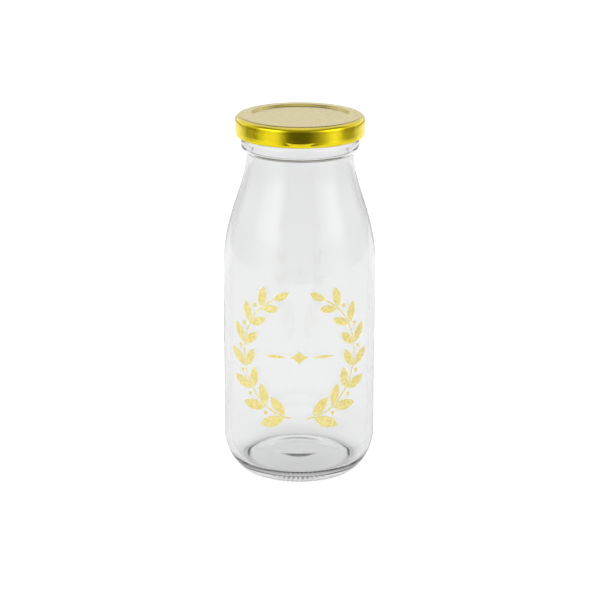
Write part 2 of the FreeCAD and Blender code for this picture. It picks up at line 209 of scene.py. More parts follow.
class CapSizes(bpy.types.PropertyGroup):
    radius: size("Radius", CAP_HIGH.x / MM, "Outside radius of the skirt")
    top: size("Top", CAP_HIGH.z / MM, "Height of the rim above the table")
    bottom: size("Bottom", CAP_LOW.z / MM, "Height of the lower edge above the table")
    sheet: size("Sheet", 0.25, "Thickness of the sheet")
    rim_round: size("Rim round", 1.9, "Radius of the rim's bend")
    channel_radius: size("Channel radius", 18.2, "Radius at which the panel's step ends")
    panel_recess: size("Panel recess", 0.6, "How far the panel lies under the rim")
    step_angle: angle("Step angle", 24, "Slope of the panel's step")
    step_bend: size("Step bend", 0.7, "Radius of the bends beside the step")
    roll_start: size("Roll start", 2.6, "Height above the lower edge at which the roll starts")
    roll_lead: size("Roll lead", 0.5, "Straight stretch before the skirt leans in")
    lean_bend: size("Lean bend", 5.0, "Radius at which the skirt leans in")
    roll_return: size("Roll return", 0.4, "Straight end of the rolled sheet")
    curl_lean: angle("Curl lean", 1.5, "Lean of the skirt over the curl")
    curl_bend: size("Curl bend", 0.9, "Radius under the curl")
    curl_flat: size("Curl flat", 0.1, "Flat under the curl")
    curl_height: size("Curl height", 1.4, "Height of the curl")
    lug_lean: angle("Lug lean", 14, "Lean of the skirt over a lug")
    lug_bend: size("Lug bend", 0.5, "Radius under a lug")
    lug_height: size("Lug height", 1.3, "Height of a lug")
    lug_tip: size("Lug tip", 20.35, "Radius at the tip of a lug")
    lug_count: number("Lugs", 4, "Lugs round the cap")
    lug_turn: angle("Lug turn", 5, "Width of a lug's tip round the cap")
    lug_blend: angle("Lug blend", 12, "Width of the blend from curl to lug")
    lug_steps: number("Lug steps", 7, "Steps in the blend from curl to lug")


class SealSizes(bpy.types.PropertyGroup):
    outer: size("Outer radius", SEAL_HIGH.x / MM, "Outside radius of the ring")
    inner: size("Inner radius", 18.35, "Inside radius of the ring")
    low: size("Underside", SEAL_LOW.z / MM, "Height of the underside above the table")
    high: size("Top", SEAL_HIGH.z / MM, "Height of the top above the table")
    round: size("Round", 0.3, "Rounding of the lower edges")


class Finishes(bpy.types.PropertyGroup):
    glass: colour("Glass", (0.975, 0.98, 0.978), "Tint of the clear glass")
    # Near-black tint that paints dark ticks of shade into the glass round the foot
    painted_foot_shade: colour("Rib", (0.07, 0.07, 0.07), "Tint of the glass in the dull ribs of the foot")
    lacquer: colour("Lacquer", (0.84, 0.68, 0.008), "Gold of the cap's skirt")
    lacquer_deep: colour("Deep lacquer", (0.77, 0.61, 0.004), "Gold where the lacquer is thicker")
    # Painted sheen: a paler gold for the cap's top, standing in for the whitish reflection of the
    # lacquer at a low angle
    lacquer_painted_sheen: colour("Top lacquer", (0.80, 0.66, 0.2), "Paler gold of the cap's top")
    foil: colour("Foil", (1.0, 0.88, 0.36), "Gold of the foil")
    foil_deep: colour("Deep foil", (0.95, 0.80, 0.26), "Gold of the foil where it is pressed thin")
    enamel: colour("Enamel", (0.82, 0.82, 0.80), "Pale enamel inside the cap")
    seal: colour("Seal", (0.78, 0.75, 0.68), "Soft ring in the cap")
    paper: colour("Paper", (0.82, 0.82, 0.82), "Paper that the bottle stands on")


# Lines in the turning plane, as (distance from the axis, height)


def arc_line(centre, radius, start, end, steps):
    """Points on an arc, angles in degrees from outward towards up."""
    turns = [math.radians(start + (end - start) * step / steps) for step in range(steps + 1)]
    return [(centre[0] + radius * math.cos(t), centre[1] + radius * math.sin(t)) for t in turns]


def straight_line(start, end, steps):
    shares = [step / steps for step in range(steps + 1)]
    return [tuple(a + (b - a) * share for a, b in zip(start, end)) for share in shares]


def eased_line(poles, steps):
    """Points on the cubic curve of four poles."""
    points = []
    for step in range(steps + 1):
        share = step / steps
        rest = 1 - share
        weights = (rest**3, 3 * rest**2 * share, 3 * rest * share**2, share**3)
        point = (sum(w * pole[axis] for w, pole in zip(weights, poles)) for axis in (0, 1))
        points.append(tuple(point))
    return points


def chained(*lines):
    """Several lines as one, without the points that meet."""
    points = []
    for line in lines:
        for point in line:
            if not points or math.dist(point, points[-1]) > 2 * MERGE:
                points.append(point)
    return points


def shoulder_line(glass, inset, neck_inset, steps):
    body, neck = glass.body_radius - inset, glass.neck_radius - neck_inset
    top = glass.body_top + glass.shoulder_height
    poles = [
        (body, glass.body_top),
        (body, glass.body_top + glass.shoulder_ease),
        (neck, top - glass.neck_ease),
        (neck, top),
    ]
    return eased_line(poles, steps)


def bead_lines(glass):
    """The bead's straight side and two hollow fillets, from the neck up to the finish."""
    height = glass.body_top + glass.shoulder_height + glass.bead_rise
    middle = glass.neck_radius + glass.bead_reach - glass.bead_round
    reach = glass.bead_round + glass.bead_fillet
    finish = glass.neck_radius + glass.finish_step
    low = math.degrees(math.acos((glass.neck_radius + glass.bead_fillet - middle) / reach))
    high = math.degrees(math.acos((finish + glass.bead_fillet - middle) / reach))
    under = (middle, height - glass.bead_flat / 2)
    over = (middle, height + glass.bead_flat / 2)
    low_centre = arc_line(under, reach, -low, -low, steps=1)[0]
    high_centre = arc_line(over, reach, high, high, steps=1)[0]
    return [
        arc_line(low_centre, glass.bead_fillet, 180, 180 - low, steps=6),
        arc_line(under, glass.bead_round, -low, 0, steps=12),
        arc_line(over, glass.bead_round, 0, high, steps=10),
        arc_line(high_centre, glass.bead_fillet, 180 + high, 180, steps=6),
    ]


def heel_arc(glass):
    """Centre and radius of the outside of the heel."""
    radius = (glass.heel_height**2 + glass.heel_inset**2) / (2 * glass.heel_inset)
    return (glass.body_radius - radius, glass.heel_height), radius


def base_lines(glass):
    """The hollow under the base with its level middle, the bearing ring and the heel."""
    edge = glass.body_radius - glass.heel_inset
    ring = edge - glass.bearing_width
    level, top = glass.push_up_flat, glass.push_up_height
    poles = [
        (level, top),
        (level + glass.push_up_ease * (ring - level), top),
        (ring - glass.push_up_foot * (ring - level), glass.push_up_foot * top),
        (ring, 0),
    ]
    centre, heel = heel_arc(glass)
    foot = -math.degrees(math.asin(glass.heel_height / heel))
    over_notches = 3 * glass.grip_depth
    rise = arc_line(centre, heel, foot, 0, steps=40)
    return (
        straight_line((0, top), (level, top), steps=6),
        eased_line(poles, steps=20),
        [(edge - glass.grip_reach, 0), (edge, 0)],
        [point for point in rise if point[1] > over_notches],
    )


def inside_lines(glass):
    """The inside wall, the heel along the outside one, the corner and the raised floor."""
    wall = glass.body_radius - glass.wall
    heel_centre, heel = heel_arc(glass)
    heel_reach = heel - glass.wall
    reach = heel_reach - glass.inner_heel_radius
    drop = heel_centre[1] - glass.corner_thickness - glass.inner_heel_radius
    turn = math.asin(drop / reach)
    corner = (heel_centre[0] + reach * math.cos(turn), heel_centre[1] - drop)
    floor, low, far = glass.push_up_height + glass.base_thickness, glass.corner_thickness, corner[0]
    poles = [
        (0, floor),
        (glass.floor_ease * far, floor),
        ((1 - glass.floor_foot) * far, low),
        (far, low),
    ]
    return [
        straight_line((wall, glass.body_top), (wall, glass.heel_height), steps=8),
        arc_line(heel_centre, heel_reach, 0, -math.degrees(turn), steps=20),
        arc_line(corner, glass.inner_heel_radius, -math.degrees(turn), -90, steps=14),
        eased_line(poles, steps=26)[::-1],
    ]


def glass_line(glass):
    """The whole section of the glass, from the hollow under the base to the inside floor."""
    body = glass.body_radius
    finish = glass.neck_radius + glass.finish_step
    bore = glass.neck_radius - glass.neck_wall
    edge = glass.lip_height - glass.lip_round
    return chained(
        *base_lines(glass),
        straight_line((body, glass.heel_height), (body, glass.body_top), steps=12),
        shoulder_line(glass, 0, 0, steps=40),
        *bead_lines(glass),
        arc_line((finish - glass.lip_round, edge), glass.lip_round, 0, 90, steps=8),
        arc_line((bore + glass.lip_round, edge), glass.lip_round, 90, 180, steps=8),
        shoulder_line(glass, glass.wall, glass.neck_wall, steps=40)[::-1],
        *inside_lines(glass),
    )


class SheetLine:
    """Both sides of a bent sheet, drawn as runs and bends, with the inner one on the right."""

    def __init__(self, start, heading, sheet):
        self.sides = [[start], [self.moved(start, heading - 90, sheet)]]
        self.heading = heading
        self.sheet = sheet

    @staticmethod
    def moved(point, degrees, length):
        turn = math.radians(degrees)
        return (point[0] + length * math.cos(turn), point[1] + length * math.sin(turn))

    def run(self, length, steps=1):
        for side in self.sides:
            end = self.moved(side[-1], self.heading, length)
            side += straight_line(side[-1], end, steps)[1:]
        return self

    def bend(self, radius, degrees, steps):
        """Turn left by positive degrees, right by negative ones."""
        quarter = math.copysign(90, degrees)
        centre = self.moved(self.sides[0][-1], self.heading + quarter, radius)
        start = self.heading - quarter
        for side, inset in zip(self.sides, (0, self.sheet)):
            reach = radius + math.copysign(inset, degrees)
            side += arc_line(centre, reach, start, start + degrees, steps)[1:]
        self.heading += degrees
        return self

    def closed_end(self):
        """Out along the outer side and back along the inner one."""
        return self.sides[0] + self.sides[1][::-1]


def rolled_edge(cap, line, lean, bend, height, flat=None):
    """The skirt's lower edge leans in, turns under and rolls back, for a lug to its tip."""
    lean = math.degrees(lean)
    turn = math.radians(lean)
    used = cap.roll_lead + cap.lean_bend * math.sin(turn) + bend * (1 - math.sin(turn))
    leaning = (cap.roll_start - used) / math.cos(turn)
    width = cap.lean_bend * (1 - math.cos(turn)) + leaning * math.sin(turn)
    width += bend * math.cos(turn)
    if flat is None:
        flat = cap.radius - cap.lug_tip - width - height / 2
    line.run(cap.roll_lead).bend(cap.lean_bend, -lean, steps=8).run(leaning, steps=2)
    line.bend(bend, lean - 90, steps=7).run(flat)
    line.bend(height / 2, -180, steps=14).run(cap.roll_return)


def cap_line(cap, lug):
    """The section of the cap's sheet through a lug or through the curl between two lugs."""
    step = cap.step_angle
    degrees = math.degrees(step)
    rise = 2 * cap.step_bend * (1 - math.cos(step))
    slope = (cap.panel_recess - rise) / math.sin(step)
    width = 2 * cap.step_bend * math.sin(step) + slope * math.cos(step)
    line = SheetLine((0, cap.top - cap.panel_recess), 0, cap.sheet)
    line.run(cap.channel_radius - width, steps=6)
    line.bend(cap.step_bend, degrees, steps=5).run(slope).bend(cap.step_bend, -degrees, steps=5)
    line.run(cap.radius - cap.rim_round - cap.channel_radius, steps=2)
    line.bend(cap.rim_round, -90, steps=14)
    line.run(cap.top - cap.rim_round - cap.bottom - cap.roll_start, steps=3)
    if lug:
        rolled_edge(cap, line, cap.lug_lean, cap.lug_bend, cap.lug_height)
    else:
        rolled_edge(cap, line, cap.curl_lean, cap.curl_bend, cap.curl_height, cap.curl_flat)
    return line.closed_end()


def blended(first, second, part):
    """A line between two lines, eased at both of them."""
    eased = part * part * (3 - 2 * part)
    pairs = zip(first, second)
    return [tuple(a + (b - a) * eased for a, b in zip(here, there)) for here, there in pairs]


def seal_line(seal):
    """The ring's section: rounded below, pressed hollow on the lip, flat on top."""
    edge = seal.low + seal.round
    middle = (seal.outer + seal.inner) / 2
    near, far = middle - SEAL_HALF_PRESS, middle + SEAL_HALF_PRESS
    press = seal.low + SEAL_PRESS
    ring = chained(
        [(seal.inner, seal.high)],
        arc_line((seal.inner + seal.round, edge), seal.round, 180, 270, steps=5),
        [(near, press), (middle, press + SEAL_CROWN), (far, press)],
        arc_line((seal.outer - seal.round, edge), seal.round, 270, 360, steps=5),
        [(seal.outer, seal.high)],
    )
    return ring + ring[:1]


# Hand work on meshes


def select_only(*pieces):
    """Select these pieces alone and make the first of them the active one."""
    bpy.ops.object.select_all(action="DESELECT")
    for piece in pieces:
        piece.select_set(True)
    bpy.context.view_layer.objects.active = pieces[0]


def edit(piece):
    select_only(piece)
    bpy.ops.object.mode_set(mode="EDIT")
    bpy.ops.mesh.select_mode(type="VERT")
    bpy.ops.mesh.select_all(action="DESELECT")


def leave():
    bpy.ops.object.mode_set(mode="OBJECT")


def add_plane(name, width, height=0.0):
    bpy.ops.object.select_all(action="DESELECT")
    bpy.ops.mesh.primitive_plane_add(size=width, location=(0, 0, height))
    piece = bpy.context.active_object
    piece.name = piece.data.name = name
    return piece


def draw_line(name, line, degrees):
    """A new piece: one corner drawn out along a line, in the half plane at an angle."""
    piece = add_plane(name, MM)
    turn = math.radians(degrees)
    places = [Vector((r * math.cos(turn), r * math.sin(turn), z)) for r, z in line]
    bpy.ops.object.mode_set(mode="EDIT")
    bpy.ops.mesh.select_mode(type="VERT")
    bpy.ops.mesh.merge(type="CENTER")
    bpy.ops.transform.translate(value=places[0])
    for here, there in zip(places, places[1:]):
        bpy.ops.mesh.extrude_region_move(TRANSFORM_OT_translate={"value": there - here})
    leave()
    return piece


def turn_line(name, line, start, sweep, steps):
    """A line turned about the bottle's axis, anticlockwise from above."""
    piece = draw_line(name, line, start)
    edit(piece)
    bpy.ops.mesh.select_all(action="SELECT")
    bpy.ops.mesh.spin(steps=steps, angle=-math.radians(sweep), center=MIDDLE, axis=UP)
    leave()
    return piece


def joined(name, pieces):
    select_only(*pieces)
    bpy.ops.object.join()
    pieces[0].name = pieces[0].data.name = name
    return pieces[0]


def close_shell(piece):
    """Seams and poles merged, faces turned outwards."""
    edit(piece)
    bpy.ops.mesh.select_all(action="SELECT")
    bpy.ops.mesh.remove_doubles(threshold=MERGE)
    bpy.ops.mesh.dissolve_degenerate(threshold=MERGE)
    bpy.ops.mesh.normals_make_consistent(inside=False)
    leave()


def smooth(piece, crease):
    """Smooth shading, but for creases sharper than so many degrees."""
    select_only(piece)
    bpy.ops.object.shade_smooth_by_angle(angle=math.radians(crease))


def apply_all(piece):
    select_only(piece)
    for modifier in list(piece.modifiers):
        bpy.ops.object.modifier_apply(modifier=modifier.name)


def dress(piece, *finishes):
    piece.data.materials.clear()
    for finish in finishes:
        piece.data.materials.append(finish)


def turned_degrees(point):
    return math.degrees(math.atan2(point.y, point.x)) % 360


def pick(piece, kind, test):
    """In edit mode, select the vertices, edges or faces that pass a test."""
    bpy.ops.mesh.select_mode(type={"verts": "VERT", "edges": "EDGE", "faces": "FACE"}[kind])
    work = bmesh.from_edit_mesh(piece.data)
    for item in getattr(work, kind):
        item.select_set(test(item))
    work.select_flush_mode()
    bmesh.update_edit_mesh(piece.data)


# Pieces


def cut_grip_notches(piece, glass):
    """Notches in the edge of the foot: half of each bar's columns are drawn up."""
    edge = glass.body_radius - glass.heel_inset
    column = 360 / glass.grip_bars / COLUMNS_PER_BAR

    def in_notch(corner):
        at_edge = abs(math.hypot(corner.co.x, corner.co.y) - edge) < MERGE
        place = round(turned_degrees(corner.co) / column) % COLUMNS_PER_BAR
        return at_edge and corner.co.z < MERGE and place < COLUMNS_PER_BAR // 2

    edit(piece)
    pick(piece, "verts", in_notch)
    bpy.ops.transform.translate(value=(0, 0, glass.grip_depth))
    leave()


def thread_ridge(name, thread, glass, cap_bottom, degrees):
    """One thread: a section turned round the finish along its lead, faded at both ends."""
    finish = glass.neck_radius + glass.finish_step
    root, crest = finish - thread.sink, finish + thread.depth
    seat = cap_bottom + thread.seat
    half_root, half_crest = thread.root_height / 2, thread.crest_height / 2
    section = [
        (root, seat - half_root),
        (crest, seat - half_crest),
        (crest, seat + half_crest),
        (root, seat + half_root),
    ]
    start = degrees - math.degrees(thread.before)
    sweep = thread.before + thread.after
    piece = draw_line(name, section, start)
    edit(piece)
    bpy.ops.mesh.select_all(action="SELECT")
    bpy.ops.mesh.edge_face_add()
    bpy.ops.mesh.spin(steps=THREAD_STEPS, angle=-sweep, center=MIDDLE, axis=UP)
    work = bmesh.from_edit_mesh(piece.data)
    for corner in work.verts:
        turned = (turned_degrees(corner.co) - start + START_SLACK) % 360 - START_SLACK
        along = math.radians(turned)
        share = min(1, along / thread.fade, (sweep - along) / thread.fade)
        reach = math.hypot(corner.co.x, corner.co.y)
        faded = root + (reach - root) * max(THREAD_END, share)
        corner.co.x *= faded / reach
        corner.co.y *= faded / reach
        corner.co.z += thread.lead * (along - thread.before) / (2 * math.pi)
    bmesh.update_edit_mesh(piece.data)
    leave()
    close_shell(piece)
    soft = piece.modifiers.new("soft", "BEVEL")
    soft.width = thread.soften
    soft.segments = 2
    soft.limit_method = "ANGLE"
    soft.angle_limit = math.radians(THREAD_EDGE)
    apply_all(piece)
    return piece


class BOTTLE_OT_blow_glass(bpy.types.Operator):
    """Blow the bottle, raise its threads and the bars that it stands on"""

    bl_idname = "bottle.blow_glass"
    bl_label = "Blow the glass"

    def execute(self, context):
        scene = context.scene
        glass, cap = scene.glass_sizes, scene.cap_sizes
        columns = COLUMNS_PER_BAR * glass.grip_bars
        piece = turn_line("bottle_glass", glass_line(glass), 0, 360, columns)
        close_shell(piece)
        cut_grip_notches(piece, glass)
        ridges = []
        for index in range(cap.lug_count):
            place = FRONT + 360 * index / cap.lug_count
            ridge = thread_ridge(f"thread_{index}", scene.thread_sizes, glass, cap.bottom, place)
            ridges.append(ridge)
        threads = joined("threads", ridges)
        union = piece.modifiers.new("threads", "BOOLEAN")
        union.operation = "UNION"
        union.object = threads
        union.solver = "EXACT"
        apply_all(piece)
        bpy.data.objects.remove(threads)
        smooth(piece, crease=24)
        dress(piece, clear_glass(scene.finishes, glass))
        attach(piece, "bottle")
        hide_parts("glass_bottle")
        return {"FINISHED"}


def bridge_gap(piece, here, there):
    """In edit mode, bridge the open ends of two strips at two angles round the cap."""

    def on_end(edge):
        if not edge.is_boundary and edge.link_faces:
            return False
        ends = [corner.co for corner in edge.verts]
        far = max(ends, key=lambda end: math.hypot(end.x, end.y))
        away = [abs((turned_degrees(far) - place + 180) % 360 - 180) for place in (here, there)]
        upright = abs(math.hypot(*ends[0].xy) - math.hypot(*ends[1].xy)) < MERGE
        return min(away) < SAME_TURN and (not upright or abs(ends[0].z - ends[1].z) > MERGE)

    pick(piece, "edges", on_end)
    bpy.ops.mesh.bridge_edge_loops()


def enamel_inside(piece, cap):
    """Give the side of the sheet that faces into the cap, above the roll, its enamel."""
    roll = cap.bottom + cap.roll_start

    def faces_in(face):
        middle = face.calc_center_median()
        outward = face.normal.x * middle.x + face.normal.y * middle.y
        inward = -outward / max(math.hypot(*middle.xy), MERGE)
        return middle.z > roll and inward - face.normal.z > ENAMEL_FACING

    edit(piece)
    pick(piece, "faces", faces_in)
    piece.active_material_index = 1
    bpy.ops.object.material_slot_assign()
    leave()


class BOTTLE_OT_press_cap(bpy.types.Operator):
    """Press the cap from one sheet, with its curl and its lugs"""

    bl_idname = "bottle.press_cap"
    bl_label = "Press the cap"

    def execute(self, context):
        cap = context.scene.cap_sizes
        pitch = 360 / cap.lug_count
        half, blend = math.degrees(cap.lug_turn) / 2, math.degrees(cap.lug_blend)
        curl_sweep = pitch - 2 * (half + blend)
        lug_line, curl_line = cap_line(cap, True), cap_line(cap, False)
        shares = [step / cap.lug_steps for step in range(cap.lug_steps + 1)]
        strips = []
        gaps = []
        for index in range(cap.lug_count):
            place = FRONT + pitch * index
            curl = place + half + blend
            strips.append(turn_line(f"lug_{index}", lug_line, place - half, 2 * half, LUG_STEPS))
            strips.append(turn_line(f"curl_{index}", curl_line, curl, curl_sweep, CURL_STEPS))
            for side in (-1, 1):
                turns = [place + side * (half + blend * share) for share in shares]
                for step in range(1, cap.lug_steps):
                    between = blended(lug_line, curl_line, shares[step])
                    strips.append(draw_line(f"blend_{index}_{step}", between, turns[step]))
                gaps += zip(turns, turns[1:])
        piece = joined("cap_gold", strips)
        edit(piece)
        for here, there in gaps:
            bridge_gap(piece, here, there)
        leave()
        close_shell(piece)
        smooth(piece, crease=50)
        finishes = context.scene.finishes
        dress(piece, gold_lacquer(finishes), pale_enamel(finishes))
        enamel_inside(piece, cap)
        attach(piece, "cap")
        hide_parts("cap_shell")
        return {"FINISHED"}


class BOTTLE_OT_pour_seal(bpy.types.Operator):
    """Pour the soft ring that seals the cap on the lip"""

    bl_idname = "bottle.pour_seal"
    bl_label = "Pour the seal"

    def execute(self, context):
        section = seal_line(context.scene.seal_sizes)
        piece = turn_line("seal_ring", section, 0, 360, SEAL_STEPS)
        close_shell(piece)
        smooth(piece, crease=35)
        dress(piece, soft_seal(context.scene.finishes))
        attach(piece, "seal")
        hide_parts("sealing_gasket")
        return {"FINISHED"}


class BOTTLE_OT_lay_foil(bpy.types.Operator):
    """Give the foil wreath on the glass its gold"""

    bl_idname = "bottle.lay_foil"
    bl_label = "Lay the foil"

    def execute(self, context):
        gold = gold_foil(context.scene.finishes)
        for name in FOIL_NODES:
            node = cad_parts[name]
            dress(node, gold)
        return {"FINISHED"}


# Finishes


def plug(tree, place, value):
    """Link a socket to an input, or set the input's own value."""
    if isinstance(value, bpy.types.NodeSocket):
        tree.links.new(value, place)
    else:
        place.default_value = value


def fill(tree, node, **inputs):
    """Values or links for a node's inputs; double underscores stand for spaces."""
    for name, value in inputs.items():
        plug(tree, node.inputs[name.replace("__", " ")], value)


def add(tree, kind, **inputs):
    node = tree.nodes.new(kind)
    fill(tree, node, **inputs)
    return node


def calculated(tree, operation, first, second=0.0):
    node = add(tree, "ShaderNodeMath")
    node.operation = operation
    plug(tree, node.inputs[0], first)
    plug(tree, node.inputs[1], second)
    return node.outputs[0]


def mixed(tree, factor, first, second, kind="MIX"):
    node = add(tree, "ShaderNodeMix")
    node.data_type = "RGBA"
    node.blend_type = kind
    for name, value in (("Factor", factor), ("A", first), ("B", second)):
        used = next(place for place in node.inputs if place.name == name and place.enabled)
        plug(tree, used, value)
    return next(place for place in node.outputs if place.enabled)


def ramp(tree, factor, *stops):
    """Levels or colours between stops of a factor."""
    node = add(tree, "ShaderNodeValToRGB", Fac=factor)
    while len(node.color_ramp.elements) < len(stops):
        node.color_ramp.elements.new(1.0)
    for element, (place, value) in zip(node.color_ramp.elements, stops):
        element.position = place
        element.color = (*value, 1) if hasattr(value, "__len__") else (value, value, value, 1)
    return node.outputs["Color"]


def axes(tree, vector):
    """The parts of a vector, by the names X, Y and Z."""
    return add(tree, "ShaderNodeSeparateXYZ", Vector=vector).outputs


def coordinates(tree, kind):
    return add(tree, "ShaderNodeTexCoord").outputs[kind]


def grain(tree, scale, detail=2.0, stretch=(1, 1, 1)):
    """Noise on the piece's own coordinates, scale in waves per metre."""
    place = add(tree, "ShaderNodeMapping", Vector=coordinates(tree, "Object"), Scale=stretch)
    place = place.outputs["Vector"]
    noise = add(tree, "ShaderNodeTexNoise", Vector=place, Scale=scale, Detail=detail, Roughness=0.5)
    return noise.outputs["Fac"]


def mottled(tree, tint, lift, scale, detail=2.0):
    """A tint that soft clouds lighten by a factor."""
    light = tuple(min(1, lift * part) for part in tint)
    return ramp(tree, grain(tree, scale, detail), (0.3, tuple(tint)), (0.7, light))


def relief(tree, height, strength, depth):
    bump = add(tree, "ShaderNodeBump", Height=height, Strength=strength, Distance=depth)
    return bump.outputs["Normal"]


def new_finish(name):
    finish = bpy.data.materials.new(name)
    finish.use_nodes = True
    return finish, finish.node_tree, finish.node_tree.nodes["Principled BSDF"]


def clear_glass(finishes, glass):
    """Clear blown glass with a faint wave in its surface, and painted shade: fine dark ticks tinted
    into the glass round the foot.
    """
    finish, tree, shader = new_finish("clear_glass")
    place = axes(tree, coordinates(tree, "Object"))
    turn = calculated(tree, "ARCTAN2", place["Y"], place["X"])
    ticks = calculated(tree, "MULTIPLY", turn, glass.painted_tick_count)
    crest = calculated(tree, "COSINE", calculated(tree, "SUBTRACT", ticks, PAINTED_TICK_SHIFT))
    # Painted shade: dark ticks round the foot, mixed into the glass's colour
    painted_dark = ramp(tree, crest, (0.0, 0.0), (0.6, 1.0))
    height = calculated(tree, "DIVIDE", place["Z"], glass.painted_tick_height)
    low = ramp(tree, height, (0.3, 1.0), (1.0, 0.0))
    shade = calculated(tree, "MULTIPLY", painted_dark, low)
    wave = grain(tree, scale=55, detail=1.0, stretch=(1, 1, 0.35))
    fill(
        tree,
        shader,
        Base__Color=mixed(tree, shade, (*finishes.glass, 1), (*finishes.painted_foot_shade, 1)),
        Roughness=0.0,
        IOR=1.5,
        Transmission__Weight=1.0,
        Normal=relief(tree, wave, strength=0.04, depth=1.0 * MM),
    )
    return finish


def gold_lacquer(finishes):
    """Gold lacquer on tinplate: a clear gloss over bright metal with a fine rolled grain, and a
    painted sheen: the upward-facing top is paler gold.
    """
    finish, tree, shader = new_finish("gold_lacquer")
    cloud = grain(tree, scale=90, detail=3.0)
    gold = ramp(tree, cloud, (0.3, finishes.lacquer_deep), (0.7, finishes.lacquer))
    facing = axes(tree, coordinates(tree, "Normal"))
    # Painted sheen: faces that look up get the paler gold
    top_sheen_mask = ramp(tree, facing["Z"], (0.6, 0.0), (0.98, 1.0))
    rolled = grain(tree, scale=2500, stretch=(0.15, 1, 1))
    fill(
        tree,
        shader,
        Base__Color=mixed(tree, top_sheen_mask, gold, (*finishes.lacquer_painted_sheen, 1)),
        Roughness=ramp(tree, grain(tree, scale=600, detail=4.0), (0.3, 0.13), (0.75, 0.22)),
        Normal=relief(tree, rolled, strength=0.05, depth=0.05 * MM),
        Metallic=1.0,
        Coat__Weight=0.25,
        Coat__Roughness=0.06,
        Coat__IOR=1.5,
    )
    return finish


def pale_enamel(finishes):
    """Pale enamel that keeps the inside of the cap from rust."""
    finish, tree, shader = new_finish("pale_enamel")
    skin = grain(tree, scale=1500)
    fill(
        tree,
        shader,
        Base__Color=mottled(tree, finishes.enamel, lift=1.04, scale=500),
        Roughness=0.35,
        Normal=relief(tree, skin, strength=0.1, depth=0.03 * MM),
    )
    return finish


def soft_seal(finishes):
    """Soft cast ring with a matt skin."""
    finish, tree, shader = new_finish("soft_seal")
    skin = grain(tree, scale=1800, detail=3.0)
    fill(
        tree,
        shader,
        Base__Color=mottled(tree, finishes.seal, lift=1.06, scale=400, detail=3.0),
        Roughness=0.5,
        Specular__IOR__Level=0.4,
        Normal=relief(tree, skin, strength=0.25, depth=0.04 * MM),
    )
    return finish


def gold_foil(finishes):
    """Hot-pressed gold foil, bright and slightly uneven."""
    finish, tree, shader = new_finish("gold_foil")
    cloud = grain(tree, scale=260, detail=4.0)
    press = grain(tree, scale=1400)
    fill(
        tree,
        shader,
        Base__Color=ramp(tree, cloud, (0.35, finishes.foil_deep), (0.65, finishes.foil)),
        Roughness=ramp(tree, grain(tree, scale=900, detail=3.0), (0.3, 0.2), (0.7, 0.34)),
        Normal=relief(tree, press, strength=0.1, depth=0.06 * MM),
        Metallic=0.12,
    )
    return finish


# Table, light and camera


def white_paper(finishes):
    """Pale paper, white to the camera and pale in glass and metal, that still takes shadow."""
    finish = bpy.data.materials.new("white_paper")
    finish.use_nodes = True
    tree = finish.node_tree
    tree.nodes.clear()
    path = add(tree, "ShaderNodeLightPath").outputs
    in_glass, in_metal = path["Is Transmission Ray"], path["Is Glossy Ray"]
    tone = mottled(tree, finishes.paper, lift=1.02, scale=300)
    shade = ramp(tree, in_glass, (0.0, 1.0), (1.0, SHADE_IN_GLASS))
    matt = add(tree, "ShaderNodeBsdfDiffuse", Color=mixed(tree, 1.0, tone, shade, "MULTIPLY"))
    place = axes(tree, add(tree, "ShaderNodeNewGeometry").outputs["Position"])
    seen = calculated(tree, "MULTIPLY", path["Is Camera Ray"], PAPER_TO_CAMERA)
    lying = ramp(tree, place["Z"], *PAPER_LYING)
    outside = calculated(tree, "MULTIPLY", lying, calculated(tree, "SUBTRACT", 1.0, in_glass))
    past = calculated(tree, "MULTIPLY", ramp(tree, place["Y"], *PAPER_PAST_OBJECT), outside)
    level = calculated(tree, "MAXIMUM", ramp(tree, place["Z"], *PAPER_IN_METAL), past)
    mirrored = calculated(tree, "MULTIPLY", in_metal, level)
    through = calculated(tree, "MULTIPLY", in_glass, PAPER_IN_GLASS)
    lift = calculated(tree, "MAXIMUM", seen, calculated(tree, "MAXIMUM", mirrored, through))
    glow = add(tree, "ShaderNodeEmission", Strength=lift)
    both = add(tree, "ShaderNodeAddShader")
    tree.links.new(matt.outputs[0], both.inputs[0])
    tree.links.new(glow.outputs[0], both.inputs[1])
    add(tree, "ShaderNodeOutputMaterial", Surface=both.outputs[0])
    return finish


